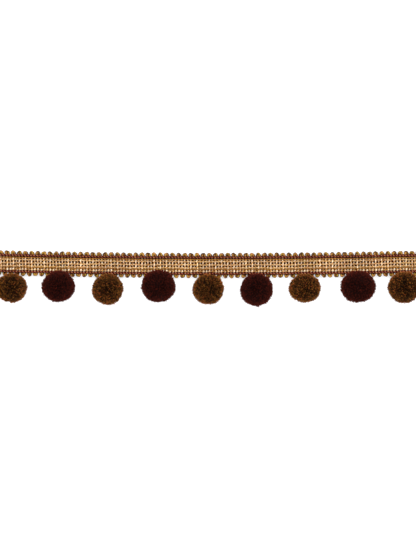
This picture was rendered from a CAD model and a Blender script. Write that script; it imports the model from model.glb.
"""Looks of the pompom fringe trim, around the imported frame.

It has plied weft loops, warp threads, laid cords and cut pile. The trim lies flat on a pale table with its
face up and the camera straight above, as in the photograph.
"""

import logging
import math
from dataclasses import dataclass, field
from enum import Enum

import bmesh
import bpy
import numpy as np
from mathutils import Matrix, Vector, noise

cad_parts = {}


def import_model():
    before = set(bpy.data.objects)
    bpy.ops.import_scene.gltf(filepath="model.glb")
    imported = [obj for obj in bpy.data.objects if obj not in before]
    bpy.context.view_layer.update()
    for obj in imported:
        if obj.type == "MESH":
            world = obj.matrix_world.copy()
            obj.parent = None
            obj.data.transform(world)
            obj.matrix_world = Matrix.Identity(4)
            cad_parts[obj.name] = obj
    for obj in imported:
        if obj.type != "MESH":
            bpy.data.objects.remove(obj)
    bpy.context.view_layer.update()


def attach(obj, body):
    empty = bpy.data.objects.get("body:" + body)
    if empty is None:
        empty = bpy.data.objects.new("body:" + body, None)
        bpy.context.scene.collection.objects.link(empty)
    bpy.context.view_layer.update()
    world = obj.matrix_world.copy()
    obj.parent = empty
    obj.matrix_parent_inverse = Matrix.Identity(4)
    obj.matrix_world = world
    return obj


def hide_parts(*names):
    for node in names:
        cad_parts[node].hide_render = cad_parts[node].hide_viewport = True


MM = 0.001
# No yarn comes nearer to the table than this.
REST_HEIGHT = 0.02 * MM
BODY = "root"
YARN_MAP = "Yarn"
BAKE_MAP = "OFBake"
PLACE = "Place"
PILE = "Pile"
LOG = logging.getLogger("trim")

Colour = tuple[float, float, float, float]
Socket = bpy.types.NodeSocket


def linear(red: int, green: int, blue: int) -> Colour:
    """The scene-linear colour of a screen colour given as three values from 0 to 255."""
    levels = (value / 255 for value in (red, green, blue))
    return (*(v / 12.92 if v <= 0.04045 else ((v + 0.055) / 1.055) ** 2.4 for v in levels), 1.0)


def bump_at(values: np.ndarray, middle: float, spread: float) -> np.ndarray:
    """A round bump of height 1 over values near middle, about spread wide to each side."""
    return np.exp(-(((values - middle) / spread) ** 2))


def smooth_step(values: np.ndarray, low: float, high: float) -> np.ndarray:
    """0 below low, 1 above high, and a smooth rise between them. With high below low it falls."""
    t = np.clip((values - low) / (high - low), 0.0, 1.0)
    return t * t * (3.0 - 2.0 * t)


def swing(values: np.ndarray, reach: float, length: float, phase: float = 0.0) -> np.ndarray:
    """A gentle swing to both sides by that reach, with a full swing every 2 pi lengths."""
    return reach * np.sin(values / length + phase)


def softened(line: np.ndarray) -> np.ndarray:
    """A line with its small corners rounded, and its ends kept."""
    return np.concatenate((line[:1], 0.25 * line[:-2] + 0.5 * line[1:-1] + 0.25 * line[2:], line[-1:]))


def noise_at(aims: np.ndarray, detail: float, shift: tuple[float, float, float]) -> np.ndarray:
    """Smooth noise from about -1 to 1 at each of the aims."""
    return np.array([noise.noise(Vector(aim) * detail + Vector(shift)) for aim in aims])


def write_map(mesh: bpy.types.Mesh, name: str, places: np.ndarray) -> None:
    """Adds a UV map with a place for each face corner."""
    mesh.uv_layers.new(name=name).data.foreach_set("uv", places.astype(np.float32).ravel())


def write_marks(mesh: bpy.types.Mesh, name: str, marks: np.ndarray) -> None:
    """Adds a colour attribute of three values for each point, which a finish reads."""
    values = np.column_stack((marks, np.ones(len(marks)))).astype(np.float32)
    mesh.attributes.new(name, "FLOAT_COLOR", "POINT").data.foreach_set("color", values.ravel())


@dataclass(frozen=True)
class HeadingPlan:
    """The heading's repeat, the lines of what is woven and laid on it, and the curve that it lies in."""

    length: float = 273.6 * MM
    loop_pitch: float = 3.8 * MM
    run_count: int = 144
    first_run_x: float = -136.95 * MM
    run_shift: float = 0.8 * MM
    lean: float = 0.035
    lean_from: float = 7.0 * MM
    slack: float = 0.55 * MM
    slack_starts: tuple[float, float] = (45 * MM, 105 * MM)
    slack_ends: tuple[float, float] = (118 * MM, 136 * MM)
    tip_to_tip: float = 15.6 * MM
    bow_rise: float = 1.7 * MM
    bow_lowest_x: float = 5.0 * MM
    cord_lines: tuple[float, float] = (-5.12 * MM, 4.95 * MM)
    cord_width: float = 1.6 * MM
    loop_height: float = 1.6 * MM
    cord_height: float = 0.95 * MM
    gap: float = 0.3 * MM
    press_ramp: float = 1.2 * MM
    warp_lines: tuple[float, ...] = (-3.68 * MM, -1.6 * MM, 0.27 * MM, 2.34 * MM)
    olive_lines: tuple[float, ...] = (-2.5 * MM, 3.62 * MM)

    @property
    def run_pitch(self) -> float:
        """How far apart the weft's neighbouring runs across the heading are."""
        return self.loop_pitch / 2

    def run_x(self, index: float) -> float:
        """Where a run crosses, or with a half added to its number, where the loop after it turns."""
        return self.first_run_x + index * self.run_pitch

    def drift(self, x: np.ndarray | float, y: np.ndarray | float) -> np.ndarray | float:
        """How far the weave lies to the right of an even one.

        The runs lean a little, so it grows from the upper loops down. Near the right end the weave is slack.

        Args:
            x: Places along the trim.
            y: Places across it, from the middle line.

        Returns:
            One distance for each place.
        """
        slackened = smooth_step(x, *self.slack_starts) - smooth_step(x, *self.slack_ends)
        return self.lean * (self.lean_from - y) + self.slack * slackened

    def turns(self, x: np.ndarray, y: np.ndarray | float) -> np.ndarray:
        """How many loop pitches x lies past the first run, where that run crosses y."""
        return (x - self.drift(x, y) - self.first_run_x - self.run_shift) / self.loop_pitch

    def bow(self, x: np.ndarray | float) -> np.ndarray | float:
        """How far the heading's middle line lies above the X axis at x."""
        half = self.length / 2
        return self.bow_rise * (((x - self.bow_lowest_x) / half) ** 2 - (self.bow_lowest_x / half) ** 2)

    def least_height(self, x: np.ndarray, y: np.ndarray) -> np.ndarray:
        """The lowest that pile may reach over the table, or over the heading's loops and its lower cord.

        Args:
            x: Places along the trim.
            y: Places across it.

        Returns:
            One height for each place.
        """
        middle = self.bow(x)
        loops = middle - self.tip_to_tip / 2 - self.gap
        cord = middle + self.cord_lines[0] - self.cord_width / 2 - self.gap
        onto_loops = np.clip((y - loops) / self.press_ramp + 1.0, 0.0, 1.0)
        onto_cord = np.clip((y - cord) / self.press_ramp + 1.0, 0.0, 1.0)
        return onto_loops * (self.loop_height + self.gap) + onto_cord * (self.cord_height + self.gap)


class Graph:
    """A material's node tree with short calls that add and join its nodes."""

    def __init__(self, name: str) -> None:
        """Starts a material of that name with its shader and output.

        Args:
            name: The material's name.
        """
        self.material = bpy.data.materials.new(name)
        self.material.use_nodes = True
        self.tree = self.material.node_tree
        self.shader = self.tree.nodes["Principled BSDF"]

    def add(self, kind: str, inputs: dict | None = None, **settings: object) -> bpy.types.Node:
        """Adds a node.

        Args:
            kind: The node's type.
            inputs: Values or sockets for its inputs, by the input's name or number.
            settings: Values for its properties.

        Returns:
            The node.
        """
        node = self.tree.nodes.new(kind)
        for name, value in settings.items():
            setattr(node, name, value)
        for name, value in (inputs or {}).items():
            self.feed(node.inputs[name], value)
        return node

    def feed(self, socket: Socket, value: object) -> None:
        """Joins a socket to an output, or sets it.

        Args:
            socket: The input.
            value: An output, or a value for the input.
        """
        if isinstance(value, Socket):
            self.tree.links.new(value, socket)
        else:
            socket.default_value = value

    def ramp(self, factor: Socket, stops: list[tuple[float, Colour]], stepped: bool = False) -> Socket:
        """A colour ramp.

        Args:
            factor: What it reads.
            stops: Places from 0 to 1 with their colours.
            stepped: Whether the colours change at once instead of blending.

        Returns:
            The ramp's colour.
        """
        node = self.add("ShaderNodeValToRGB", {"Fac": factor})
        band = node.color_ramp
        band.interpolation = "CONSTANT" if stepped else "LINEAR"
        while len(band.elements) < len(stops):
            band.elements.new(1.0)
        for element, (place, colour) in zip(band.elements, stops):
            element.position, element.color = place, colour
        return node.outputs["Color"]

    def maths(self, operation: str, *values: object) -> Socket:
        """The result of a mathematical operation on sockets or numbers."""
        node = self.add("ShaderNodeMath", dict(enumerate(values)), operation=operation)
        return node.outputs[0]

    def blend(self, factor: object, first: object, second: object, mode: str = "MIX") -> Socket:
        """Two colours blended.

        Args:
            factor: How much of the blend shows.
            first: The colour below.
            second: The colour above.
            mode: One of Blender's blend types.

        Returns:
            The blended colour.
        """
        node = self.add("ShaderNodeMix", data_type="RGBA", blend_type=mode)
        for socket, value in zip((node.inputs[0], node.inputs[6], node.inputs[7]), (factor, first, second)):
            self.feed(socket, value)
        return node.outputs[2]

    def scaled(self, colour: Socket, level: Socket) -> Socket:
        """A colour made lighter or darker by a level, which is 1 where it stays as it is."""
        grey = self.add("ShaderNodeCombineColor", {0: level, 1: level, 2: level}).outputs[0]
        return self.blend(1.0, colour, grey, "MULTIPLY")

    def remap(self, value: Socket, low: float, high: float) -> Socket:
        """A value from 0 to 1 stretched to run from low to high."""
        return self.add("ShaderNodeMapRange", {"Value": value, "To Min": low, "To Max": high}).outputs[0]

    def upward(self, low: float, high: float) -> Socket:
        """How far the surface faces up.

        Args:
            low: The upright part of its normal where the value is 0.
            high: The upright part of its normal where the value is 1.

        Returns:
            The value, from 0 to 1.
        """
        normal = self.add("ShaderNodeNewGeometry").outputs["Normal"]
        upright = self.add("ShaderNodeSeparateXYZ", {0: normal}).outputs[2]
        inputs = {"Value": upright, "From Min": low, "From Max": high}
        return self.add("ShaderNodeMapRange", inputs).outputs[0]

    def noise(self, vector: Socket, scale: float, detail: float = 2.0) -> Socket:
        """A noise texture's value."""
        inputs = {"Vector": vector, "Scale": scale, "Detail": detail}
        return self.add("ShaderNodeTexNoise", inputs).outputs["Fac"]

    def waves(self, vector: Socket, direction: str, scale: float, distortion: float, detail: float) -> Socket:
        """The value of wavy bands that follow one another in a direction, X or Y.

        Args:
            vector: Where the texture is read.
            direction: The bands' direction.
            scale: How close the bands are.
            distortion: How much they wander.
            detail: How fine their wandering is.

        Returns:
            The bands' value, from 0 to 1.
        """
        inputs = {"Vector": vector, "Scale": scale, "Distortion": distortion, "Detail": detail}
        node = self.add("ShaderNodeTexWave", inputs, wave_type="BANDS", bands_direction=direction)
        return node.outputs["Fac"]

    def attribute(self, name: str) -> tuple[Socket, ...]:
        """The three channels of a colour attribute."""
        read = self.add("ShaderNodeAttribute", attribute_name=name)
        return tuple(self.add("ShaderNodeSeparateColor", {"Color": read.outputs["Color"]}).outputs[:3])

    def emboss(self, height: Socket, strength: float, distance: float) -> None:
        """Gives the shader's normal a bump."""
        bump = self.add("ShaderNodeBump", {"Strength": strength, "Distance": distance, "Height": height})
        self.feed(self.shader.inputs["Normal"], bump.outputs[0])

    def finish(self, colour: Socket | Colour, **constants: float | Colour) -> bpy.types.Material:
        """Ends the material.

        Args:
            colour: The surface's colour.
            constants: Values for the shader's own sockets, with spaces written as underscores.

        Returns:
            The material.
        """
        self.feed(self.shader.inputs["Base Color"], colour)
        for name, value in constants.items():
            self.shader.inputs[name.replace("_", " ")].default_value = value
        return self.material


@dataclass(frozen=True)
class YarnFinish:
    """A plied yarn: a colour for each ply, plain and in the web, with its fibres and its unevenness.

    Where no web colours are given, the plies keep theirs. A worn crown shows the web's colours where the yarn
    faces up. A dark slope darkens the yarn outside the web where it turns away from facing up.
    """

    name: str
    plies: tuple[Colour, ...]
    tints: tuple[Colour, ...]
    shade: Colour
    web_plies: tuple[Colour, ...] = ()
    shares: tuple[float, ...] = ()
    worn_crown: bool = False
    crown_range: tuple[float, float] = (0.84, 0.99)
    dark_slope: Colour | None = None
    slope_range: tuple[float, float] = (0.97, 0.55)
    run_spread: float = 0.0
    over_gain: float = 0.0
    mottle: float = 0.25
    mottle_peak: float = 2.2
    mottle_scale: float = 2.2
    mottle_stretch: float = 0.16
    tint_share: float = 0.6
    run_tint: float = 0.55
    lot_tint: tuple[float, float] = (1.5, -0.52)
    lot_stretch: float = 0.035
    fibres: float = 5.6
    fibre_wander: float = 1.6
    groove: Colour = (0.6, 0.5, 0.4, 1.0)
    groove_share: float = 0.55
    relief: float = 0.35
    relief_depth: float = 0.06 * MM
    roughness: float = 0.6
    gloss: float = 0.1
    sheen: float = 0.04
    sheen_roughness: float = 0.45

    def ply_stops(self, colours: tuple[Colour, ...]) -> list[tuple[float, Colour]]:
        """The ramp stops that give each ply its colour over its part of the girth.

        Args:
            colours: A colour for each ply.

        Returns:
            Places round the strand with their colours.
        """
        shares = np.array(self.shares or (1.0,) * len(colours))
        starts = (np.cumsum(shares) - shares) / shares.sum()
        return [(float(start), colour) for start, colour in zip(starts, colours)]

    def plied(self, g: Graph, yarn: Socket, web: Socket) -> Socket:
        """The plies' colours round the strand.

        Args:
            g: The material's nodes.
            yarn: The yarn map.
            web: How much the web's colours show.

        Returns:
            The colour.
        """
        around = g.add("ShaderNodeSeparateXYZ", {0: yarn}).outputs[1]
        plain = g.ramp(around, self.ply_stops(self.plies), stepped=True)
        lit = g.ramp(around, self.ply_stops(self.web_plies or self.plies), stepped=True)
        return g.blend(web, plain, lit)

    def dyed(self, g: Graph, colour: Socket, yarn: Socket, run: Socket) -> Socket:
        """The colour with darker lengths, and tinted from one dye lot and run to the next.

        Args:
            g: The material's nodes.
            colour: The plies' colour.
            yarn: The yarn map.
            run: The run's own value.

        Returns:
            The uneven colour.
        """
        lengths = g.add("ShaderNodeMapping", {"Vector": yarn, "Scale": (self.mottle_stretch, 1.0, 1.0)})
        patches = g.noise(lengths.outputs[0], self.mottle_scale)
        worn = g.remap(patches, -self.mottle, self.mottle_peak * self.mottle)
        colour = g.blend(worn, colour, self.shade, "MULTIPLY")
        bath = g.add("ShaderNodeMapping", {"Vector": yarn, "Scale": (self.lot_stretch, 0.0, 0.0)})
        lots = g.maths("MULTIPLY_ADD", g.noise(bath.outputs[0], 1.0), *self.lot_tint)
        choice = g.maths("MULTIPLY_ADD", run, self.run_tint, lots)
        tints = [(i / (len(self.tints) - 1), tint) for i, tint in enumerate(self.tints)]
        return g.blend(self.tint_share, colour, g.ramp(choice, tints), "MULTIPLY")

    def make(self) -> bpy.types.Material:
        """The material: ply colours, uneven lengths and runs, and fibre streaks with a bump.

        Returns:
            The material.
        """
        g = Graph(self.name)
        yarn = g.add("ShaderNodeUVMap", uv_map=YARN_MAP).outputs[0]
        web, run, over = g.attribute(PLACE)
        if self.worn_crown:
            web = g.upward(*self.crown_range)
        colour = self.dyed(g, self.plied(g, yarn, web), yarn, run)
        gain = g.maths("MULTIPLY_ADD", run, self.run_spread, 1.0 - self.run_spread / 2)
        colour = g.scaled(colour, g.maths("MULTIPLY_ADD", over, self.over_gain, gain))
        if self.dark_slope:
            sloping = g.maths("MULTIPLY", g.upward(*self.slope_range), g.maths("SUBTRACT", 1.0, web))
            colour = g.blend(sloping, colour, self.dark_slope, "MULTIPLY")
        streaks = g.waves(yarn, "Y", self.fibres, self.fibre_wander, 2.0)
        grooves = g.remap(streaks, self.groove_share, 0.0)
        g.emboss(streaks, self.relief, self.relief_depth)
        return g.finish(
            g.blend(grooves, colour, g.blend(1.0, colour, self.groove, "MULTIPLY")),
            Roughness=self.roughness,
            Specular_IOR_Level=self.gloss,
            Sheen_Weight=self.sheen,
            Sheen_Roughness=self.sheen_roughness,
            Sheen_Tint=self.tints[0],
        )


@dataclass(frozen=True)
class GroundFinish:
    """The dark woven strip under the weft: fine ribs of thread, and darker spots where they cross."""

    name: str
    thread: Colour
    shade: Colour
    thread_scale: float = 520.0
    thread_wander: float = 0.8
    mottle_scale: float = 900.0
    relief: float = 0.5
    relief_depth: float = 0.1 * MM
    roughness: float = 0.85
    gloss: float = 0.04

    def make(self) -> bpy.types.Material:
        """The material: a plain weave of brown threads with a bump.

        Returns:
            The material.
        """
        g = Graph(self.name)
        place = g.add("ShaderNodeTexCoord").outputs["Object"]
        ribs = [g.waves(place, direction, self.thread_scale, self.thread_wander, 1.0) for direction in "XY"]
        weave = g.maths("MULTIPLY", *ribs)
        mottle = g.noise(place, self.mottle_scale, 3.0)
        colour = g.blend(g.maths("MULTIPLY", weave, mottle), self.shade, self.thread)
        g.emboss(weave, self.relief, self.relief_depth)
        return g.finish(colour, Roughness=self.roughness, Specular_IOR_Level=self.gloss)


@dataclass(frozen=True)
class PileFinish:
    """Cut yarn pile: dark at the roots, lighter at the tips and the rim, with tufts of a second colour."""

    name: str
    root: Colour
    middle: Colour
    tip: Colour
    second: Colour
    second_share: float
    contrast: float
    sheen_colour: Colour
    sheen: float
    rim: float
    root_end: float = 0.4
    middle_at: float = 0.78
    second_middle_at: float = 0.72
    second_strength: float = 0.85
    roughness: float = 0.9
    gloss: float = 0.08
    sheen_roughness: float = 0.5

    def make(self) -> bpy.types.Material:
        """The material: the colour along each fibre, varied from tuft to tuft.

        Returns:
            The material.
        """
        g = Graph(self.name)
        along, tone, kind = g.attribute(PILE)
        first = g.ramp(along, [(self.root_end, self.root), (self.middle_at, self.middle), (1.0, self.tip)])
        other = g.ramp(
            along, [(self.root_end, self.root), (self.second_middle_at, self.middle), (1.0, self.second)]
        )
        picked = g.maths("MULTIPLY", g.maths("LESS_THAN", kind, self.second_share), self.second_strength)
        level = g.maths("MULTIPLY_ADD", tone, 2 * self.contrast, 1.0 - self.contrast)
        return g.finish(
            g.scaled(g.blend(picked, first, other), level),
            Roughness=self.roughness,
            Specular_IOR_Level=self.gloss,
            Sheen_Weight=self.sheen,
            Sheen_Roughness=self.sheen_roughness,
            Sheen_Tint=self.sheen_colour,
        )


class Finish(Enum):
    """The finishes of the trim's yarns."""

    WEFT = YarnFinish(
        name="weft_yarn",
        plies=(linear(188, 156, 66), linear(108, 72, 20), linear(200, 150, 84)),
        web_plies=(linear(254, 244, 226), linear(204, 148, 70), linear(244, 216, 176)),
        tints=(linear(252, 214, 188), linear(255, 242, 222), linear(255, 253, 244), linear(240, 230, 166)),
        shade=linear(180, 126, 76),
        dark_slope=linear(146, 110, 58),
        run_spread=0.5,
        over_gain=0.45,
        mottle=0.35,
    )
    WARP = YarnFinish(
        name="warp_thread",
        plies=(linear(246, 220, 182), linear(216, 170, 106)),
        tints=(linear(252, 218, 190), linear(255, 246, 226), linear(238, 222, 150)),
        shade=linear(196, 142, 88),
        run_spread=0.25,
        mottle=0.35,
    )
    OLIVE_WARP = YarnFinish(
        name="olive_warp_thread",
        plies=(linear(196, 148, 77), linear(152, 105, 46)),
        tints=(linear(255, 222, 196), linear(255, 246, 226), linear(236, 228, 150)),
        shade=linear(196, 142, 88),
        run_spread=0.25,
        over_gain=0.3,
        mottle=0.35,
    )
    LAID = YarnFinish(
        name="laid_cord_yarn",
        plies=(linear(68, 5, 3), linear(92, 24, 14), linear(56, 3, 1), linear(88, 22, 12)),
        web_plies=(linear(76, 6, 2), linear(252, 184, 128), linear(64, 3, 1), linear(246, 166, 116)),
        worn_crown=True,
        tints=(linear(255, 226, 200), linear(255, 255, 255), linear(240, 224, 244)),
        gloss=0.08,
        sheen=0.02,
        shares=(0.37, 0.13, 0.37, 0.13),
        shade=linear(160, 110, 100),
        run_spread=0.2,
        over_gain=1.0,
        mottle=0.4,
    )
    TIE = YarnFinish(
        name="tie_thread",
        plies=(linear(58, 28, 12), linear(40, 16, 8)),
        tints=(linear(255, 236, 214), linear(255, 255, 255)),
        shade=linear(190, 150, 120),
    )
    GROUND = GroundFinish(name="ground_threads", thread=linear(97, 38, 0), shade=linear(48, 16, 0))
    OLIVE = PileFinish(
        name="olive_pile",
        root=linear(16, 5, 0),
        middle=linear(52, 26, 5),
        tip=linear(118, 73, 29),
        second=linear(142, 68, 32),
        second_share=0.2,
        contrast=0.74,
        sheen_colour=linear(214, 150, 84),
        sheen=0.08,
        rim=0.6,
    )
    BURGUNDY = PileFinish(
        name="burgundy_pile",
        root=linear(24, 6, 5),
        middle=linear(42, 11, 6),
        tip=linear(70, 20, 11),
        second=linear(80, 25, 16),
        second_share=0.12,
        contrast=0.3,
        sheen_colour=linear(170, 60, 44),
        sheen=0.05,
        rim=1.9,
    )


@dataclass(frozen=True)
class Ply:
    """One ply of a strand: its radius, its middle's distance from the strand's, and its part of the girth."""

    radius: float
    offset: float
    share: float = 1.0


@dataclass(frozen=True)
class Strand:
    """A plied strand, swept along a path as one closed tube that turns as it is twisted."""

    plies: tuple[Ply, ...]
    lay: float
    sides: int
    flatness: float = 1.0
    groove: float = 0.8
    bake_gap: float = 0.5

    def outline(self) -> np.ndarray:
        """The section's shape: the plies' round backs, with grooves between them.

        Returns:
            The radius at each of the section's sides.
        """
        angles = (np.arange(self.sides) + 0.5) / self.sides * 2 * math.pi
        radii = np.full(self.sides, min(ply.radius for ply in self.plies) * self.groove)
        whole, before = sum(ply.share for ply in self.plies), 0.0
        for ply in self.plies:
            apart = angles - (before + ply.share / 2) / whole * 2 * math.pi
            before += ply.share
            inside = ply.radius**2 - (ply.offset * np.sin(apart)) ** 2
            reach = ply.offset * np.cos(apart) + np.sqrt(np.maximum(inside, 0.0))
            radii = np.maximum(radii, np.where((inside > 0) & (np.cos(apart) > 0), reach, 0.0))
        return radii

    def rings(
        self, path: np.ndarray, along: np.ndarray, start: float | np.ndarray, girth: np.ndarray
    ) -> np.ndarray:
        """The tube's points.

        Args:
            path: The strand's middle line.
            along: How far along the strand each of its points lies.
            start: The strand's twist at its start, or at each point, in turns.
            girth: How thick the strand is at each point, against its usual thickness.

        Returns:
            A ring of points for each point of the path.
        """
        ahead = np.gradient(path, axis=0)
        ahead /= np.linalg.norm(ahead, axis=1, keepdims=True)
        across = np.cross((0.0, 0.0, 1.0), ahead)
        across /= np.linalg.norm(across, axis=1, keepdims=True)
        up = np.cross(ahead, across)
        if np.ndim(start) == 0:
            start = np.concatenate(([0.0], np.cumsum(np.diff(along) / girth[1:]))) / self.lay + start
        turns = 2 * math.pi * ((np.arange(self.sides) + 0.5) / self.sides + start[:, None])
        radii = self.outline()[None, :, None] * girth[:, None, None]
        sideways = np.cos(turns)[..., None] * across[:, None, :]
        upwards = self.flatness * np.sin(turns)[..., None] * up[:, None, :]
        points = path[:, None, :] + radii * (sideways + upwards)
        points[..., 2] = np.maximum(points[..., 2], REST_HEIGHT)
        return points

    def sweep(
        self,
        path: np.ndarray,
        place: np.ndarray,
        start: float | np.ndarray = 0.0,
        girth: np.ndarray | None = None,
    ) -> bmesh.types.BMesh:
        """Sweeps the strand along a path.

        Args:
            path: The strand's middle line, one row for each step.
            place: Three values for each step, which the finish reads as the Place attribute.
            start: The strand's twist at its start, or at each step, in turns.
            girth: How thick the strand is at each step, against its usual thickness.

        Returns:
            A closed tube with its yarn map and its bake map.
        """
        steps = len(path)
        along = np.concatenate(([0.0], np.cumsum(np.linalg.norm(np.diff(path, axis=0), axis=1))))
        rings = self.rings(path, along, start, np.ones(steps) if girth is None else girth)
        sheet = bmesh.new()
        bmesh.ops.create_grid(sheet, x_segments=self.sides, y_segments=steps - 1, size=1.0)
        mesh = bpy.data.meshes.new("sheet")
        sheet.to_mesh(mesh)
        sheet.free()
        flat = np.empty(len(mesh.vertices) * 3, np.float32)
        mesh.vertices.foreach_get("co", flat)
        side = np.rint((flat[0::3] + 1) / 2 * self.sides).astype(int)
        step = np.rint((flat[1::3] + 1) / 2 * (steps - 1)).astype(int)
        mesh.vertices.foreach_set("co", rings[step, side % self.sides].astype(np.float32).ravel())
        write_marks(mesh, PLACE, place[step])
        corners = np.empty(len(mesh.loops), np.int32)
        mesh.loops.foreach_get("vertex_index", corners)
        write_map(mesh, YARN_MAP, np.column_stack((along[step[corners]] / MM, side[corners] / self.sides)))
        write_map(mesh, BAKE_MAP, self.bake_places(side[corners], step[corners], along))
        return self.close(mesh, side, step)

    def bake_places(self, side: np.ndarray, step: np.ndarray, along: np.ndarray) -> np.ndarray:
        """The bake map's places: the strand unrolled, in rows side by side like lines of text.

        Args:
            side: Each corner's side of the strand.
            step: Each corner's step along it.
            along: How far along the strand each step lies.

        Returns:
            A place for each corner.
        """
        girth = 2 * math.pi * float(self.outline().mean()) * (1 + self.bake_gap / self.sides)
        rows = max(1, round(math.sqrt(along[-1] / girth)))
        row_steps = math.ceil((len(along) - 1) / rows)
        row = np.repeat(step.reshape(-1, 4).min(axis=1) // row_steps, 4)
        tall = self.sides + self.bake_gap
        places = np.column_stack(((step - row * row_steps) / row_steps, (row * tall + side) / (rows * tall)))
        return places * 0.998 + 0.001

    def close(self, mesh: bpy.types.Mesh, side: np.ndarray, step: np.ndarray) -> bmesh.types.BMesh:
        """Welds the rolled sheet's long seam and fills its two ends.

        Args:
            mesh: The sheet. It is removed.
            side: Each point's side of the strand.
            step: Each point's step along it.

        Returns:
            The closed tube.
        """
        bm = bmesh.new()
        bm.from_mesh(mesh)
        bpy.data.meshes.remove(mesh)
        bm.verts.ensure_lookup_table()
        firsts = {int(step[i]): bm.verts[int(i)] for i in np.flatnonzero(side == 0)}
        seam = {bm.verts[int(i)]: firsts[int(step[i])] for i in np.flatnonzero(side == self.sides)}
        bmesh.ops.weld_verts(bm, targetmap=seam)
        ends = bmesh.ops.holes_fill(bm, edges=[edge for edge in bm.edges if edge.is_boundary])["faces"]
        corner = Vector((0.0005, 0.0005))
        for layer in bm.loops.layers.uv.values():
            for face in ends:
                for i, loop in enumerate(face.loops):
                    turn = 2 * math.pi * i / len(face.loops)
                    loop[layer].uv = corner + 0.0004 * Vector((math.cos(turn), math.sin(turn)))
        if bm.calc_volume(signed=True) < 0:
            bmesh.ops.reverse_faces(bm, faces=bm.faces)
        return bm


@dataclass
class Piece:
    """A finished piece of the trim: its name, its finish, and the slot and nodes that it stands for."""

    name: str
    finish: Finish
    slot: str
    stands_for: tuple[str, ...] = ()

    def place(self, bm: bmesh.types.BMesh, material: bpy.types.Material) -> bpy.types.Object:
        """Makes the piece's object from its mesh and hands it to the frame.

        Args:
            bm: The shape, in place. It is freed.
            material: The finish's material.

        Returns:
            The object.
        """
        mesh = bpy.data.meshes.new(self.name)
        bm.to_mesh(mesh)
        bm.free()
        mesh.materials.append(material)
        mesh.shade_smooth()
        obj = bpy.data.objects.new(self.name, mesh)
        bpy.context.scene.collection.objects.link(obj)
        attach(obj, BODY)
        if self.stands_for:
            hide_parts(*self.stands_for)
        mesh.calc_loop_triangles()
        LOG.info("%s: %d triangles", self.name, len(mesh.loop_triangles))
        return obj


class Wardrobe:
    """Makes each finish's material once, and dresses the pieces."""

    def __init__(self) -> None:
        """Starts with no material made."""
        self.made: dict[Finish, bpy.types.Material] = {}

    def dress(self, piece: Piece, bm: bmesh.types.BMesh) -> bpy.types.Object:
        """Places a piece in its finish's material.

        Args:
            piece: The piece.
            bm: Its shape. It is freed.

        Returns:
            The piece's object.
        """
        if piece.finish not in self.made:
            self.made[piece.finish] = piece.finish.value.make()
        return piece.place(bm, self.made[piece.finish])


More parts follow.
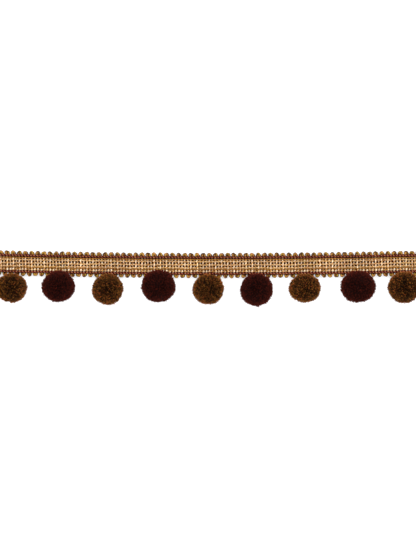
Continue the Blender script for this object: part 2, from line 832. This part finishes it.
@dataclass
class Weft:
    """The thick weft strand, which crosses the heading up and down and turns in a loop at each edge.

    It is pulled thin where it crosses, and swells in the loops until they close. Its marks tell the finish
    how far it lies in the web, the tone of its run, and how much lighter or darker it is there.
    """

    plan: HeadingPlan
    strand: Strand = Strand(plies=(Ply(0.27 * MM, 0.25 * MM),) * 3, lay=2.9 * MM, sides=12)
    run_steps: int = 27
    slant_from: float = 4.2 * MM
    wander: tuple[float, float] = (0.02 * MM, 0.1 * MM)
    wander_length: float = 2.2 * MM
    wander_within: float = 0.7
    run_spread: float = 0.05 * MM
    over_height: float = 0.96 * MM
    under_height: float = 0.72 * MM
    height_spread: float = 0.03 * MM
    over_push: float = 0.16 * MM
    under_push: float = -0.1 * MM
    warp_spread: float = 0.6 * MM
    pressed_height: float = 0.6 * MM
    cord_spread: float = 1.0 * MM
    loop_steps: int = 11
    loop_half_width: float = 0.74 * MM
    loop_rise: float = 0.64 * MM
    rise_spread: float = 0.12
    upper_reach: float = 0.2 * MM
    lower_reach: float = 0.24 * MM
    lean_spread: float = 0.12 * MM
    loop_lie: float = 0.86 * MM
    tilt_spread: float = 0.07 * MM
    loop_slope: float = 0.03 * MM
    loop_girth: float = 1.78
    pinch: tuple[float, float] = (4.2 * MM, 5.5 * MM)
    base_girth: float = 0.3
    base_line: float = 5.7 * MM
    base_spread: float = 0.5 * MM
    bump_girth: float = 0.34
    bump_line: float = -3.6 * MM
    web_edge: tuple[float, float] = (5.0 * MM, 4.2 * MM)
    over_mark: float = 0.25
    lower_foot_mark: float = 0.85
    upper_foot_mark: float = 0.1
    foot_line: float = 6.2 * MM
    upper_crown_mark: float = -0.45
    upper_crown: tuple[float, float] = (6.0 * MM, 6.9 * MM)
    edge_mark: float = 0.6
    mark_spread: float = 0.6 * MM
    seed: int = 5

    @property
    def run_end(self) -> float:
        """How far from the heading's middle line a run ends and its loop starts."""
        ply = self.strand.plies[0]
        return self.plan.tip_to_tip / 2 - (ply.radius + ply.offset) * self.loop_girth - self.loop_rise

    def run(self, index: int, rng: np.random.Generator) -> np.ndarray:
        """One crossing, from one edge to the other.

        Args:
            index: The run's number. Even ones go up and lie higher, odd ones go down and lie lower.
            rng: The weft's random numbers.

        Returns:
            Its middle line, with y from the heading's middle line.
        """
        over = index % 2 == 0
        upwards = 1 if over else -1
        y = upwards * np.linspace(-self.run_end, self.run_end, self.run_steps + 1)[:-1]
        slant = smooth_step(np.abs(y), self.slant_from, self.run_end)
        closing = self.plan.run_pitch / 2 - self.loop_half_width
        x = self.plan.run_x(index) + upwards * np.sign(y) * slant * closing
        x += (1 - slant) * self.plan.run_shift
        inside = smooth_step(np.abs(y), self.run_end, self.wander_within * self.run_end)
        phase, reach = rng.uniform(0, 2 * math.pi), rng.uniform(*self.wander)
        x += inside * (swing(y, reach, self.wander_length, phase) + rng.normal(0, self.run_spread))
        z = np.full_like(y, self.over_height if over else self.under_height)
        z += rng.normal(0, self.height_spread)
        for line in self.plan.warp_lines:
            z += bump_at(y, line, self.warp_spread) * (self.over_push if over else self.under_push)
        for cord in self.plan.cord_lines:
            z += bump_at(y, cord, self.cord_spread) * (self.pressed_height - z)
        return np.column_stack((x, y, z))

    def loop(self, after: int, rng: np.random.Generator) -> np.ndarray:
        """The loop that joins a run to the next.

        Args:
            after: The number of the run before it.
            rng: The weft's random numbers.

        Returns:
            Its middle line, with y from the heading's middle line.
        """
        upper = after % 2 == 0
        turn = np.linspace(0, math.pi, self.loop_steps + 1)[:-1]
        reach, lean = rng.normal(1.0, self.rise_spread), rng.normal(0, self.lean_spread)
        tilt = rng.normal(0, self.tilt_spread)
        x = self.plan.run_x(after + 0.5) - self.loop_half_width * np.cos(turn) + lean * np.sin(turn)
        rise = self.loop_rise * reach + (self.upper_reach if upper else self.lower_reach)
        y = (1 if upper else -1) * (self.run_end + rise * np.sin(turn))
        z = self.loop_lie + tilt * np.sin(turn) + self.loop_slope * np.cos(turn)
        return np.column_stack((x, y, z))

    def marked(self, y: np.ndarray, place: np.ndarray) -> np.ndarray:
        """The marks with the web's extent and the lighter and darker parts of the loops.

        Args:
            y: Each point's distance from the heading's middle line.
            place: Each point's marks: nothing yet, its run's tone, and 1 on the runs that lie higher.

        Returns:
            The marks that the finish reads.
        """
        place[:, 0] = smooth_step(np.abs(y), *self.web_edge)
        place[:, 2] *= self.over_mark * place[:, 0]
        place[:, 2] += self.lower_foot_mark * bump_at(y, -self.foot_line, self.mark_spread)
        place[:, 2] += self.upper_foot_mark * bump_at(y, self.foot_line, self.mark_spread)
        place[:, 2] += self.upper_crown_mark * smooth_step(y, *self.upper_crown)
        place[:, 2] += self.edge_mark * bump_at(y, self.bump_line, self.mark_spread)
        return place

    def girth(self, y: np.ndarray) -> np.ndarray:
        """How thick the strand is: thin in the web, full in the loops, and swollen at the loops' feet.

        Args:
            y: Each point's distance from the heading's middle line.

        Returns:
            Each point's thickness, against the strand's usual one.
        """
        girth = 1.0 + (self.loop_girth - 1.0) * smooth_step(np.abs(y), *self.pinch)
        girth += self.base_girth * bump_at(np.abs(y), self.base_line, self.base_spread)
        return girth + self.bump_girth * bump_at(y, self.bump_line, self.mark_spread)

    def build(self, wardrobe: Wardrobe) -> bpy.types.Object:
        """Makes the weft and puts it in the heading's place.

        Args:
            wardrobe: What dresses it.

        Returns:
            Its object.
        """
        rng = np.random.default_rng(self.seed)
        points, marks = [], []
        for index in range(self.plan.run_count):
            stretch = [self.run(index, rng)]
            if index < self.plan.run_count - 1:
                stretch.append(self.loop(index, rng))
            tone = rng.uniform()
            points += stretch
            marks += [(0, tone, 1 - index % 2)] * sum(len(part) for part in stretch)
        line = np.concatenate(points)
        place, girth = self.marked(line[:, 1], np.array(marks, float)), self.girth(line[:, 1])
        line[:, 0] += self.plan.drift(line[:, 0], line[:, 1])
        line[:, 1] += self.plan.bow(line[:, 0])
        tube = self.strand.sweep(softened(line), place, girth=girth)
        return wardrobe.dress(Piece("heading_weft", Finish.WEFT, "weft", ("heading",)), tube)


OLIVE_STRAND = Strand(plies=(Ply(0.22 * MM, 0.16 * MM),) * 2, lay=1.9 * MM, sides=8, flatness=0.7)


@dataclass
class Warps:
    """Warp threads woven through the weft: over every second run and under the others, or over them all."""

    plan: HeadingPlan
    name: str
    finish: Finish
    lines: tuple[float, ...]
    waves: int = 1
    strand: Strand = Strand(plies=(Ply(0.28 * MM, 0.22 * MM),) * 2, lay=2.7 * MM, sides=8, flatness=0.7)
    step: float = 0.4 * MM
    over_height: float = 1.6 * MM
    under_height: float = 0.4 * MM
    height_bias: float = 0.5
    wander: tuple[tuple[float, float], ...] = ((0.09 * MM, 7.3 * MM), (0.05 * MM, 2.9 * MM))
    tone_length: float = 11 * MM
    seed: int = 21

    def path(self, line: float, rng: np.random.Generator) -> tuple[np.ndarray, np.ndarray]:
        """One thread's course.

        Args:
            line: How far from the heading's middle line it lies.
            rng: The threads' random numbers.

        Returns:
            Its middle line and its marks.
        """
        half = self.plan.length / 2
        x = np.linspace(-half, half, round(self.plan.length / self.step) + 1)
        wave = math.cos(math.pi * self.waves) * np.cos(2 * math.pi * self.waves * self.plan.turns(x, line))
        wave += self.height_bias * (1 - wave**2)
        z = (self.over_height + self.under_height) / 2 + wave * (self.over_height - self.under_height) / 2
        drift = sum(swing(x, reach, length, rng.uniform(0, 6)) for reach, length in self.wander)
        tone = 0.5 + swing(x, 0.5, self.tone_length, rng.uniform(0, 6))
        place = np.column_stack((np.ones_like(x), tone, np.full_like(x, line > 0)))
        return np.column_stack((x, line + drift + self.plan.bow(x), z)), place

    def build(self, wardrobe: Wardrobe) -> bpy.types.Object:
        """Makes the threads as one piece.

        Args:
            wardrobe: What dresses them.

        Returns:
            Their object.
        """
        rng = np.random.default_rng(self.seed)
        threads = [self.strand.sweep(*self.path(line, rng), start=rng.uniform()) for line in self.lines]
        return wardrobe.dress(Piece(self.name, self.finish, "weft"), joined(threads))


def joined(parts: list[bmesh.types.BMesh]) -> bmesh.types.BMesh:
    """One mesh of several parts, with their bake maps side by side in strips.

    Args:
        parts: The parts. They are freed.

    Returns:
        The joined mesh.
    """
    whole = bmesh.new()
    for index, part in enumerate(parts):
        layer = part.loops.layers.uv[BAKE_MAP]
        for face in part.faces:
            for loop in face.loops:
                loop[layer].uv.y = (loop[layer].uv.y * 0.99 + index) / len(parts)
        mesh = bpy.data.meshes.new("part")
        part.to_mesh(mesh)
        part.free()
        whole.from_mesh(mesh)
        bpy.data.meshes.remove(mesh)
    return whole


@dataclass
class Ground:
    """The dark strip of ground threads, which shows only between the weft runs."""

    plan: HeadingPlan
    width: float = 11.2 * MM
    thickness: float = 0.26 * MM
    height: float = 0.32 * MM
    ripple: float = 0.03 * MM
    ripple_length: float = 3.1 * MM
    ripples_across: float = 9
    steps: int = 144
    rows: int = 8

    def build(self, wardrobe: Wardrobe) -> bpy.types.Object:
        """Makes the strip along the trim's bow.

        Args:
            wardrobe: What dresses it.

        Returns:
            Its object.
        """
        bm = bmesh.new()
        bmesh.ops.create_grid(bm, x_segments=self.steps, y_segments=self.rows, size=0.5)
        for vert in bm.verts:
            x, across = vert.co.x * self.plan.length, vert.co.y
            ripple = self.ripple * math.sin(x / self.ripple_length) * math.cos(across * self.ripples_across)
            vert.co = (x, across * self.width + self.plan.bow(x), self.height + ripple)
        bmesh.ops.recalc_face_normals(bm, faces=bm.faces)
        bmesh.ops.solidify(bm, geom=bm.faces[:], thickness=self.thickness)
        bmesh.ops.recalc_face_normals(bm, faces=bm.faces)
        return wardrobe.dress(Piece("heading_ground", Finish.GROUND, "weft"), bm)


@dataclass
class LaidCord:
    """One of the two burgundy cords, laid on the weft runs with pale plies that show once for each run."""

    plan: HeadingPlan
    node: str
    line: float
    seed: int
    lag: float = 0.0
    lift: float = 0.06
    strand: Strand = Strand(
        plies=(Ply(0.53 * MM, 0.33 * MM, 0.37), Ply(0.2 * MM, 0.63 * MM, 0.13)) * 2, lay=3.8 * MM, sides=20
    )
    pale_turn: float = 0.185
    step: float = 0.33 * MM
    height: float = 1.94 * MM
    rise: float = 0.06 * MM
    wander: tuple[float, float] = (0.07 * MM, 5.1 * MM)
    tremble: tuple[float, float] = (0.05 * MM, 1.7 * MM)
    tone_length: float = 13 * MM

    def build(self, wardrobe: Wardrobe) -> bpy.types.Object:
        """Makes the cord in its node's place.

        Args:
            wardrobe: What dresses it.

        Returns:
            Its object.
        """
        rng = np.random.default_rng(self.seed)
        half = self.plan.length / 2
        x = np.linspace(-half, half, round(self.plan.length / self.step) + 1)
        drift = swing(x, *self.wander, rng.uniform(0, 6)) + swing(x, *self.tremble)
        y = self.line + self.plan.bow(x) + drift
        turns = self.plan.turns(x - self.lag, self.line)
        z = self.height + self.rise * np.cos(4 * math.pi * turns)
        tone = 0.5 + swing(x, 0.5, self.tone_length, rng.uniform(0, 6))
        place = np.column_stack((np.ones_like(x), tone, np.full_like(x, self.lift)))
        tube = self.strand.sweep(np.column_stack((x, y, z)), place, start=turns - self.pale_turn)
        return wardrobe.dress(Piece(f"{self.node}_yarn", Finish.LAID, "laid_cord", (self.node,)), tube)


@dataclass(frozen=True)
class Stray:
    """A tuft that the shears missed: its bearing in degrees from +X towards +Y, its reach, and its spread."""

    bearing: float
    reach: float
    spread: float = 9.0


class Spike:
    """One fibre as a slim closed cone, which is repeated for all the pile."""

    def __init__(self) -> None:
        """Makes the cone and reads its points, its faces and its height, from 0 at its base to 1."""
        bm = bmesh.new()
        bmesh.ops.create_cone(bm, cap_ends=True, segments=3, radius1=1.0, radius2=0.0, depth=1.0)
        bmesh.ops.remove_doubles(bm, verts=bm.verts, dist=1e-5)
        bmesh.ops.recalc_face_normals(bm, faces=bm.faces)
        self.points = np.array([vert.co for vert in bm.verts])
        self.faces = np.array([[vert.index for vert in face.verts] for face in bm.faces])
        self.height = self.points[:, 2] + 0.5
        bm.free()

    def stretched(
        self, starts: np.ndarray, ends: np.ndarray, radius: float, rng: np.random.Generator
    ) -> np.ndarray:
        """The cone's points for each fibre.

        Args:
            starts: Where the fibres' wide ends are.
            ends: Where their points are.
            radius: Their radius at the wide end.
            rng: Random numbers for how they are turned.

        Returns:
            A set of points for each fibre.
        """
        lean = ends - starts
        side = np.cross(lean, rng.normal(0, 1, lean.shape))
        side /= np.linalg.norm(side, axis=1, keepdims=True)
        other = np.cross(lean, side)
        other /= np.linalg.norm(other, axis=1, keepdims=True)
        x, y, z = self.points[:, 0], self.points[:, 1], self.height
        wide = radius * (side[:, None] * x[:, None] + other[:, None] * y[:, None])
        return starts[:, None] + wide + lean[:, None] * z[:, None]

    def repeated_faces(self, count: int) -> np.ndarray:
        """The faces of that many cones, one after the other."""
        firsts = np.arange(count)[:, None, None] * len(self.points)
        return (firsts + self.faces).reshape(-1, self.faces.shape[1])

    def cell_places(self) -> np.ndarray:
        """The cone in a cell of the bake map, with its sides upright and its base below.

        Returns:
            Where each face's corners lie.
        """
        places = []
        for face in self.faces:
            if self.height[face].max() < 0.5:
                places.append([(0.2, 0.12), (0.5, 0.24), (0.8, 0.12)])
                continue
            sides = iter(((0.2, 0.15), (0.8, 0.15)))
            places.append([(0.5, 0.85) if self.height[i] > 0.5 else next(sides) for i in face])
        return np.array(places)


@dataclass
class Pompom:
    """One pompom: a ball of cut tufts, trimmed round but uneven, that rests on the table and the heading."""

    plan: HeadingPlan
    number: int
    shift: float
    drop: float
    width: float
    height: float
    finish: Finish
    strays: tuple[Stray, ...] = ()
    tufts: int = 1700
    tuft_fibres: int = 11
    inset: float = 0.05 * MM
    disorder: float = 0.022
    tuft_radius: float = 0.55 * MM
    tuft_dome: float = 0.25 * MM
    tuft_lean: float = 0.4 * MM
    tuft_unevenness: float = 0.17 * MM
    trim_unevenness: float = 0.15 * MM
    broad_lump: float = 0.56 * MM
    broad_detail: float = 1 / 0.9
    fine_lump: float = 0.4 * MM
    fine_detail: float = 3.1
    pile_depth: float = 2.0 * MM
    root_spread: float = 0.4
    fibre_radius: float = 0.19 * MM
    blunt_share: float = 0.08
    long_share: float = 0.015
    long_reach: tuple[float, float] = (0.3 * MM, 0.7 * MM)
    patch: float = 0.5
    patch_detail: float = 2.6
    rim_level: float = 0.7
    core_depth: float = 0.7
    core_marks: tuple[float, ...] = (0.45, 0.4, 0.9, 1.0)
    core_cells: int = 400
    sink: float = 0.7 * MM
    table_gap: float = 0.03 * MM
    cells: int = 42
    pitch_loops: int = 8
    pompom_count: int = 9

    @property
    def half(self) -> np.ndarray:
        """The ball's half sizes where most of its pile ends."""
        return np.array((self.width, self.height, (self.width + self.height) / 2)) / 2 - self.inset

    @property
    def centre(self) -> np.ndarray:
        """The ball's middle."""
        even = (self.number - (self.pompom_count + 1) / 2) * self.pitch_loops * self.plan.loop_pitch
        x = even + self.shift
        return np.array((x, self.plan.bow(x) - self.drop, self.half[2] + self.inset - self.sink))

    def directions(self, rng: np.random.Generator) -> np.ndarray:
        """Directions spread evenly over the ball with a little disorder.

        Args:
            rng: The pompom's own random numbers.

        Returns:
            One direction for each tuft.
        """
        index = np.arange(self.tufts) + 0.5
        level = 1 - 2 * index / self.tufts
        turn = math.pi * (1 + math.sqrt(5)) * index
        flat = np.sqrt(1 - level**2)
        even = np.column_stack((flat * np.cos(turn), flat * np.sin(turn), level))
        spread = even + rng.normal(0, self.disorder, even.shape)
        return spread / np.linalg.norm(spread, axis=1, keepdims=True)

    def lumps(self, aims: np.ndarray) -> np.ndarray:
        """How far the trimmed pile stands out or falls back.

        Args:
            aims: One direction for each tuft.

        Returns:
            One distance for each tuft.
        """
        tag = self.number - 1
        out = self.broad_lump * noise_at(aims, self.broad_detail, (7.3 * tag, 1.7, 4.1))
        out += self.fine_lump * noise_at(aims, self.fine_detail, (2.9, 5.3 * tag, 8.2))
        for stray in self.strays:
            bearing = math.radians(stray.bearing)
            aim = np.array((math.cos(bearing), math.sin(bearing), 0.0))
            apart = np.degrees(np.arccos(np.clip(aims @ aim, -1, 1)))
            out += stray.reach * bump_at(apart, 0.0, stray.spread)
        return out

    def fibres(self, rng: np.random.Generator, aims: np.ndarray) -> tuple[np.ndarray, np.ndarray]:
        """The root and tip of every fibre.

        Args:
            rng: The pompom's own random numbers.
            aims: One direction for each tuft.

        Returns:
            Roots and tips, one row for each fibre, tuft by tuft.
        """
        surface = self.half * aims
        reach = np.linalg.norm(surface, axis=1)
        cut = reach + self.lumps(aims) + rng.normal(0, self.tuft_unevenness, self.tufts)
        across = np.cross(aims, np.where(np.abs(aims[:, 2:]) < 0.9, (0.0, 0.0, 1.0), (1.0, 0.0, 0.0)))
        across /= np.linalg.norm(across, axis=1, keepdims=True)
        upward = np.cross(aims, across)
        leans = rng.normal(0, self.tuft_lean, (self.tufts, 2))
        heads = surface + leans[:, :1] * across + leans[:, 1:] * upward
        shape = (self.tufts, self.tuft_fibres, 1)
        turn, away = rng.uniform(0, 2 * math.pi, shape), np.sqrt(rng.uniform(0, 1, shape))
        aside = self.tuft_radius * away * (np.cos(turn) * across[:, None] + np.sin(turn) * upward[:, None])
        trim = rng.normal(0, self.trim_unevenness, shape) - self.tuft_dome * away**2
        trim += (rng.uniform(0, 1, shape) < self.long_share) * rng.uniform(*self.long_reach, shape)
        spread = heads[:, None] + aside
        tips = spread / np.linalg.norm(spread, axis=2, keepdims=True) * (cut[:, None, None] + trim)
        roots = surface[:, None] * (1 - self.pile_depth / reach)[:, None, None] + self.root_spread * aside
        return (roots + self.centre).reshape(-1, 3), (tips + self.centre).reshape(-1, 3)

    def rested(self, points: np.ndarray) -> np.ndarray:
        """The points with none under the table, in the heading or in its lower cord.

        Args:
            points: Points in any number of rows, or one. They are changed.

        Returns:
            The same points, lifted.
        """
        lowest = np.maximum(self.plan.least_height(points[..., 0], points[..., 1]), self.table_gap)
        points[..., 2] = np.maximum(points[..., 2], lowest)
        return points

    def build(self, wardrobe: Wardrobe) -> bpy.types.Object:
        """Makes the pompom's pile and its core, in its node's place.

        Args:
            wardrobe: What dresses it.

        Returns:
            Its object.
        """
        rng = np.random.default_rng(300 + self.number)
        aims = self.directions(rng)
        roots, tips = self.fibres(rng, aims)
        blunt = rng.uniform(0, 1, (len(tips), 1)) < self.blunt_share
        spike = Spike()
        starts, ends = np.where(blunt, tips, roots), np.where(blunt, roots, tips)
        points = self.rested(spike.stretched(starts, ends, self.fibre_radius, rng))
        mesh = bpy.data.meshes.new("fibres")
        mesh.from_pydata(points.reshape(-1, 3), [], spike.repeated_faces(len(points)))
        along = np.where(blunt, spike.height < 0.5, spike.height > 0.5).astype(float)
        write_marks(mesh, PILE, self.marks(rng, aims, along))
        write_map(mesh, BAKE_MAP, self.bake_places(spike))
        bm = bmesh.new()
        bm.from_mesh(mesh)
        bpy.data.meshes.remove(mesh)
        self.add_core(bm)
        node = f"pompom_{self.number}"
        slot = f"{self.finish.name.lower()}_pile"
        return wardrobe.dress(Piece(f"{node}_pile", self.finish, slot, (node,)), bm)

    def marks(self, rng: np.random.Generator, aims: np.ndarray, along: np.ndarray) -> np.ndarray:
        """What the pile's finish reads: the place along the fibre, the tuft's tone and its kind.

        Args:
            rng: The pompom's own random numbers.
            aims: One direction for each tuft.
            along: How far along its fibre each point lies, one row for each fibre.

        Returns:
            Three values for each point.
        """
        patches = noise_at(aims, self.patch_detail, (0.0, 3.7 * self.number, 6.1))
        rim = self.finish.value.rim * np.maximum(0.0, 1.0 - np.abs(aims[:, 2]) / self.rim_level)
        tone = np.clip(rng.uniform(0, 1, self.tufts) + self.patch * patches, 0, 1) + rim
        kind = rng.uniform(0, 1, self.tufts)
        tone, kind = (np.repeat(values, along.size // self.tufts) for values in (tone, kind))
        return np.column_stack((along.ravel(), tone, kind))

    def bake_places(self, spike: Spike) -> np.ndarray:
        """The bake map's places: a cell for each tuft, in which each of its fibres stands upright.

        Args:
            spike: The fibres' cone.

        Returns:
            A place for each corner.
        """
        tuft = np.repeat(np.arange(self.tufts), self.tuft_fibres)
        low_left = np.column_stack((tuft % self.cells, tuft // self.cells)).astype(float)
        return (low_left[:, None, None, :] + spike.cell_places()[None]) / (self.cells + 1)

    def add_core(self, bm: bmesh.types.BMesh) -> None:
        """Adds the dark middle that the fibres stand on, with its bake map in a strip over the tufts' cells.

        Args:
            bm: The pompom's mesh.
        """
        share = 1 - self.core_depth * self.pile_depth / float(self.half.mean())
        core = bmesh.ops.create_uvsphere(bm, u_segments=28, v_segments=14, radius=share)["verts"]
        dye, layer = bm.verts.layers.float_color[PILE], bm.loops.layers.uv[BAKE_MAP]
        for vert in core:
            vert.co = Vector(self.rested(np.array(vert.co) * self.half + self.centre))
            vert[dye] = self.core_marks
        strip = self.cells / (self.cells + 1)
        for index, face in enumerate(dict.fromkeys(face for vert in core for face in vert.link_faces)):
            for corner, loop in enumerate(face.loops):
                u = (index % self.core_cells + 0.2 + 0.6 * (corner in (1, 2))) / self.core_cells
                loop[layer].uv = (u, strip + (1 - strip) * (0.3 + 0.4 * (corner > 1)))


@dataclass
class Ties:
    """The dark threads that sew the low hanging pompoms to the loops above them."""

    plan: HeadingPlan
    pompoms: list[Pompom]
    strand: Strand = Strand(plies=(Ply(0.17 * MM, 0.13 * MM),) * 2, lay=1.3 * MM, sides=6)
    lowest_drop: float = 14.0 * MM
    face_height: float = 1.72 * MM
    apart: tuple[float, float] = (3.4 * MM, 4.4 * MM)
    twin_apart: float = 0.2 * MM
    steps: int = 26
    seed: int = 77

    def path(self, pompom: Pompom, offset: float) -> np.ndarray:
        """One thread's course, from under the lower cord over a loop and into the ball.

        Args:
            pompom: The pompom that it sews on.
            offset: How far from the pompom's middle it starts.

        Returns:
            Its middle line.
        """
        x, y, z = pompom.centre
        first = self.plan.run_x(1.5)
        loop_x = first + round((x + offset - first) / self.plan.loop_pitch) * self.plan.loop_pitch
        cord = float(self.plan.bow(loop_x)) + self.plan.cord_lines[0]
        tip = float(self.plan.bow(loop_x)) - self.plan.tip_to_tip / 2
        # How far each knot has gone from the loop to the ball's middle along x, then its y and z.
        knots = np.array(
            (
                (0.0, cord, 0.5 * self.face_height),
                (0.0, cord - 0.6 * MM, 0.7 * self.face_height),
                (0.1, tip + 1.1 * MM, self.face_height),
                (0.2, tip - 0.1 * MM, self.face_height),
                (0.4, (tip + y + pompom.height / 2) / 2 - 0.6 * MM, 0.25 * z),
                (0.6, y + 0.38 * pompom.height, 0.6 * z),
                (0.8, y + 0.25 * pompom.height, 0.8 * z),
            )
        )
        knots[:, 0] = loop_x + knots[:, 0] * (x - loop_x)
        reach = np.linspace(0, len(knots) - 1, self.steps)
        line = np.column_stack([np.interp(reach, np.arange(len(knots)), knots[:, axis]) for axis in range(3)])
        for _ in range(3):
            line = softened(line)
        return line

    def build(self, wardrobe: Wardrobe) -> bpy.types.Object:
        """Makes the threads as one piece, in two pairs for each low hanging pompom.

        Args:
            wardrobe: What dresses them.

        Returns:
            Their object.
        """
        rng = np.random.default_rng(self.seed)
        place = np.tile((1.0, 0.5, 0.0), (self.steps, 1))
        threads = []
        for pompom in self.pompoms:
            if pompom.drop < self.lowest_drop:
                continue
            for side in (-1, 1):
                line = self.path(pompom, side * rng.uniform(*self.apart))
                twins = [line + (twin * self.twin_apart, 0.0, 0.0) for twin in (-1, 1)]
                threads += [self.strand.sweep(twin, place) for twin in twins]
        return wardrobe.dress(Piece("tie_threads", Finish.TIE, "laid_cord"), joined(threads))


@dataclass
class Studio:
    """The table, the lights and the camera, which looks straight down as the photograph does.

    The photograph's picture is 416 by 555 pixels. One pixel is photo_scale at the heading, and the heading's
    middle line at x = 0 lies at the pixel row middle_row.
    """

    picture: tuple[int, int] = (416, 555)
    photo_scale: float = 0.62 * MM
    middle_row: float = 265.42
    lens: float = 130.0
    film: float = 36.0
    heading_height: float = 1.2 * MM
    fill: float = 1.12
    table_tone: float = 0.55
    table_glow: float = 0.55
    table_half: float = 2.5
    table_height: float = -0.2 * MM
    box_size: float = 0.7
    box_height: float = 0.8
    soft_boxes: tuple[tuple[float, float, float], ...] = field(
        default=((-0.9, 0.5, 5.0), (0.9, 0.4, 5.0), (0.0, -1.0, 5.0), (0.1, 1.0, 4.0))
    )

    def camera(self) -> None:
        """Makes the camera at the photograph's distance and aim."""
        data = bpy.data.cameras.new("camera")
        data.lens, data.sensor_width = self.lens, self.film
        data.dof.use_dof = False
        obj = bpy.data.objects.new("camera", data)
        tall = self.picture[1] * self.photo_scale
        aim = (self.middle_row - self.picture[1] / 2) * self.photo_scale
        obj.location = (0.0, aim, self.heading_height + tall * self.lens / self.film)
        bpy.context.scene.collection.objects.link(obj)
        bpy.context.scene.camera = obj

    def table(self) -> None:
        """Makes the pale table that the trim lies on. It glows a little, so that shadows stay faint."""
        bm = bmesh.new()
        bmesh.ops.create_grid(bm, x_segments=2, y_segments=2, size=self.table_half)
        bmesh.ops.translate(bm, verts=bm.verts, vec=(0.0, 0.0, self.table_height))
        mesh = bpy.data.meshes.new("table")
        bm.to_mesh(mesh)
        bm.free()
        material = Graph("table").finish(
            (self.table_tone, self.table_tone, self.table_tone, 1.0),
            Emission_Color=(1.0, 1.0, 1.0, 1.0),
            Emission_Strength=self.table_glow,
            Roughness=0.9,
            Specular_IOR_Level=0.1,
        )
        mesh.materials.append(material)
        obj = bpy.data.objects.new("table", mesh)
        bpy.context.scene.collection.objects.link(obj)

    def lights(self) -> None:
        """Makes the soft boxes round the trim, each from its x, y and power, and the even fill."""
        for index, (x, y, power) in enumerate(self.soft_boxes):
            data = bpy.data.lights.new(f"soft_box_{index}", "AREA")
            data.size, data.energy = self.box_size, power
            obj = bpy.data.objects.new(data.name, data)
            obj.location = (x, y, self.box_height)
            obj.rotation_euler = (-Vector(obj.location)).to_track_quat("-Z", "Y").to_euler()
            bpy.context.scene.collection.objects.link(obj)
        world = bpy.data.worlds.new("fill")
        world.use_nodes = True
        world.node_tree.nodes["Background"].inputs[0].default_value = (1.0, 1.0, 1.0, 1.0)
        world.node_tree.nodes["Background"].inputs[1].default_value = self.fill
        bpy.context.scene.world = world
        bpy.context.scene.view_settings.view_transform = "Standard"

    def build(self) -> None:
        """Makes all of it."""
        self.camera()
        self.table()
        self.lights()


def pompoms(plan: HeadingPlan) -> list[Pompom]:
    """The nine pompoms in order, as uneven as the photograph shows them.

    Args:
        plan: The heading that they hang from.

    Returns:
        The pompoms, from the left.
    """
    missed_left = (Stray(bearing=182, reach=0.7 * MM),)
    missed_below = (Stray(bearing=277, reach=1.7 * MM, spread=6.0),)
    rows = (
        # Shift from even spacing, drop, width and height in millimetres, then finish and strays.
        (0.5, 15.25, 19.3, 18.3, Finish.OLIVE, ()),
        (-1.0, 13.85, 20.6, 19.7, Finish.BURGUNDY, ()),
        (-1.1, 15.1, 19.5, 19.4, Finish.OLIVE, ()),
        (-0.1, 13.0, 21.3, 20.4, Finish.BURGUNDY, missed_left),
        (0.2, 14.65, 19.6, 18.8, Finish.OLIVE, ()),
        (-0.6, 15.0, 20.6, 20.8, Finish.BURGUNDY, missed_below),
        (-1.2, 14.5, 20.0, 17.7, Finish.OLIVE, ()),
        (1.3, 13.85, 22.1, 19.7, Finish.BURGUNDY, ()),
        (-0.7, 14.8, 20.3, 19.9, Finish.OLIVE, ()),
    )
    return [
        Pompom(plan, i + 1, shift * MM, drop * MM, width * MM, height * MM, finish, strays)
        for i, (shift, drop, width, height, finish, strays) in enumerate(rows)
    ]


def main() -> None:
    """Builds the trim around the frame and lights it."""
    logging.basicConfig(level=logging.INFO, format="%(message)s")
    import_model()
    Studio().build()
    plan, wardrobe = HeadingPlan(), Wardrobe()
    pale, edge, olive = plan.warp_lines[1:], plan.warp_lines[:1], plan.olive_lines
    parts = (
        Weft(plan),
        Warps(plan, "heading_warps", Finish.WARP, pale),
        Warps(plan, "heading_edge_warp", Finish.WARP, edge, 2, over_height=0.5 * MM),
        Warps(plan, "heading_olive_warps", Finish.OLIVE_WARP, olive, 2, OLIVE_STRAND, under_height=1.2 * MM),
        LaidCord(plan, "cord_upper", plan.cord_lines[1], seed=41),
        LaidCord(plan, "cord_lower", plan.cord_lines[0], seed=39, lag=0.19 * MM, lift=0.2),
    )
    yarns = [part.build(wardrobe) for part in parts]
    ground = Ground(plan)
    strip = ground.build(wardrobe)
    balls = pompoms(plan)
    for pompom in balls:
        pompom.build(wardrobe)
    Ties(plan, balls).build(wardrobe)


if __name__ == "__main__":
    main()
